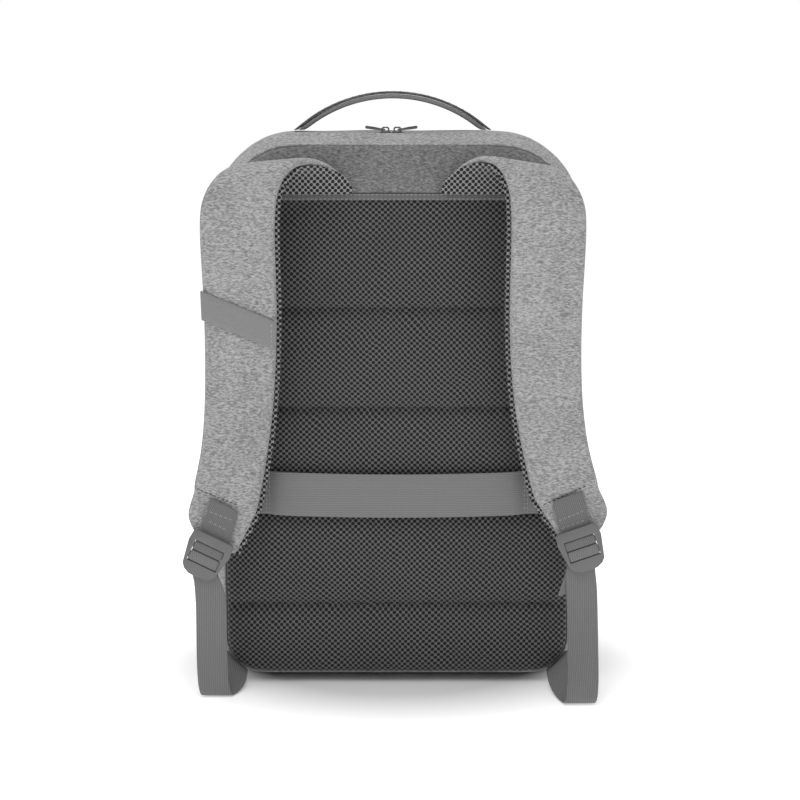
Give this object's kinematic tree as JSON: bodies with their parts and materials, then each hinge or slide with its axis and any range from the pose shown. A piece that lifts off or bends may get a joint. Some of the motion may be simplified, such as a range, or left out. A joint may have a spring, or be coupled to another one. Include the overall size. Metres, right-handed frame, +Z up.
{
  "type": "laptop backpack",
  "caption": "Laptop backpack with a padded mesh back panel, two hanging shoulder straps on ladder locks, a band for a wheeled case, a top handle and an arched zipper.",
  "frame": {"origin": "centre of the flat base that the bag stands on", "axes": "+Z up along the bag's height, -Y out of the padded back panel that is worn against the back, +X to the right as seen from that side"},
  "size_m": [0.3452, 0.229, 0.4885],
  "materials": {
    "heather_cloth": "grey heather woven polyester with a mottled grain",
    "spacer_mesh": "dark grey spacer mesh with a diamond pattern of holes",
    "webbing": "mid-grey woven webbing with fine ribs along its length",
    "zipper_tape": "dark grey zipper tape with a coil",
    "moulded_plastic": "satin grey moulded plastic",
    "zip_metal": "dark gunmetal coated zinc"
  },
  "bodies": {
    "bag": {"bag_shell": "heather_cloth", "back_pad": "spacer_mesh", "back_yoke": "heather_cloth", "yoke_binding": "webbing", "trolley_strap": "webbing", "main_zipper": "zipper_tape", "handle_core": "webbing", "handle_cover": "heather_cloth", "strap_left": "heather_cloth", "strap_lining_left": "spacer_mesh", "strap_tab_left": "webbing", "adjuster_webbing_left": "webbing", "ladder_lock_left": "moulded_plastic", "keeper_band": "webbing", "strap_right": "heather_cloth", "strap_lining_right": "spacer_mesh", "strap_tab_right": "webbing", "adjuster_webbing_right": "webbing", "ladder_lock_right": "moulded_plastic", "zip_slider_left": "zip_metal", "zip_slider_right": "zip_metal"},
    "pull_left": {"zip_pull_left": "zip_metal"},
    "pull_right": {"zip_pull_right": "zip_metal"}
  },
  "joints": [
    {"name": "pull_left_swing", "type": "hinge", "parent": "bag", "child": "pull_left", "pos_m": [-0.0104, -0.04752, 0.45676], "axis": [0, 1, 0], "range_deg": [0, 95]},
    {"name": "pull_right_swing", "type": "hinge", "parent": "bag", "child": "pull_right", "pos_m": [0.0012, -0.04752, 0.45676], "axis": [0, -1, 0], "range_deg": [0, 95]}
  ]
}
